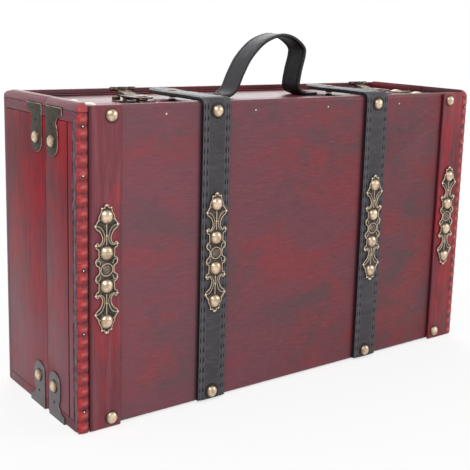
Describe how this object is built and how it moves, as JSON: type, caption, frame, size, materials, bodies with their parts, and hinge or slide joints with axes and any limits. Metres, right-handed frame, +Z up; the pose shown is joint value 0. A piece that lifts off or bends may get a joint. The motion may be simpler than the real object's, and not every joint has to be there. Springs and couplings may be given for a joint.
{
  "type": "wooden suitcase box",
  "caption": "Wooden keepsake box shaped as an upright suitcase, with a lid on hinges, toggle latches, leather straps and handle, and filigree plates.",
  "frame": {"origin": "middle of the footprint of the standing case, on the surface that the case stands on", "axes": "+X along the width to the right as seen from the front, +Y from the lid face towards the back panel, +Z up"},
  "size_m": [0.4338, 0.1442, 0.3033],
  "materials": {
    "panel_wood": "aged lacquer, satin, mottled dark red",
    "end_wood": "aged lacquer, satin, streaked dark red",
    "slat_wood": "aged lacquer, satin, streaked dark red",
    "carved_wood": "bright red lacquer on a notched strip",
    "moulding_wood": "aged lacquer, satin",
    "lining_cloth": "plain dark lining, matt",
    "strap_leather": "grained dark grey, stitched",
    "nail_brass": "polished",
    "plate_bronze": "aged, dark in the hollows and worn bright on the rims",
    "latch_bronze": "dark, aged",
    "aged_sheet": "dark, aged"
  },
  "bodies": {
    "base": {"base_back_panel": "panel_wood", "base_top_board": "end_wood", "base_bottom_board": "end_wood", "base_end_left": "end_wood", "base_end_right": "end_wood", "base_lining": "lining_cloth", "base_moulding_left": "moulding_wood", "base_moulding_right": "moulding_wood", "base_bracket_top_left": "aged_sheet", "base_bracket_top_right": "aged_sheet", "base_bracket_bottom_left": "aged_sheet", "base_bracket_bottom_right": "aged_sheet", "strap_stud_left": "nail_brass", "strap_stud_right": "nail_brass", "handle": "strap_leather", "latch_base_left": "latch_bronze", "latch_base_right": "latch_bronze", "hinge_leaf_base_left": "latch_bronze", "hinge_leaf_base_right": "latch_bronze"},
    "lid": {"lid_front_panel": "panel_wood", "lid_top_board": "end_wood", "lid_bottom_board": "end_wood", "lid_end_left": "end_wood", "lid_end_right": "end_wood", "lid_lining": "lining_cloth", "lid_moulding_left": "moulding_wood", "lid_moulding_right": "moulding_wood", "lid_bracket_top_left": "aged_sheet", "lid_bracket_top_right": "aged_sheet", "lid_bracket_bottom_left": "aged_sheet", "lid_bracket_bottom_right": "aged_sheet", "carved_strip_left": "carved_wood", "carved_strip_right": "carved_wood", "slat_left": "slat_wood", "slat_right": "slat_wood", "slat_nail_top_left": "nail_brass", "slat_nail_top_right": "nail_brass", "slat_nail_bottom_left": "nail_brass", "slat_nail_bottom_right": "nail_brass", "strap_left": "strap_leather", "strap_right": "strap_leather", "strap_nail_top_left": "nail_brass", "strap_nail_top_right": "nail_brass", "strap_nail_bottom_left": "nail_brass", "strap_nail_bottom_right": "nail_brass", "filigree_slat_left": "plate_bronze", "filigree_slat_right": "plate_bronze", "filigree_strap_left": "plate_bronze", "filigree_strap_right": "plate_bronze", "latch_catch_left": "latch_bronze", "latch_catch_right": "latch_bronze", "hinge_leaf_lid_left": "latch_bronze", "hinge_leaf_lid_right": "latch_bronze"},
    "latch_lever_left": {"latch_lever_left": "latch_bronze"},
    "latch_lever_right": {"latch_lever_right": "latch_bronze"},
    "latch_loop_left": {"latch_loop_left": "latch_bronze"},
    "latch_loop_right": {"latch_loop_right": "latch_bronze"}
  },
  "joints": [
    {"name": "lid_hinge", "type": "hinge", "parent": "base", "child": "lid", "pos_m": [0, -0.0109, 0.0013], "axis": [1, 0, 0], "range_deg": [0, 135]},
    {"name": "latch_left_lever", "type": "hinge", "parent": "base", "child": "latch_lever_left", "pos_m": [-0.13387, -0.0049, 0.2496], "axis": [1, 0, 0], "range_deg": [0, 110]},
    {"name": "latch_left_loop", "type": "hinge", "parent": "latch_lever_left", "child": "latch_loop_left", "pos_m": [-0.13387, 0.0001, 0.2511], "axis": [1, 0, 0], "range_deg": [-132, 0]},
    {"name": "latch_right_lever", "type": "hinge", "parent": "base", "child": "latch_lever_right", "pos_m": [0.13387, -0.0049, 0.2496], "axis": [1, 0, 0], "range_deg": [0, 110]},
    {"name": "latch_right_loop", "type": "hinge", "parent": "latch_lever_right", "child": "latch_loop_right", "pos_m": [0.13387, 0.0001, 0.2511], "axis": [1, 0, 0], "range_deg": [-132, 0]}
  ],
  "couplings": [
    {"joint": "latch_left_loop", "follows": "latch_left_lever", "ratio": -1.2},
    {"joint": "latch_right_loop", "follows": "latch_right_lever", "ratio": -1.2}
  ]
}
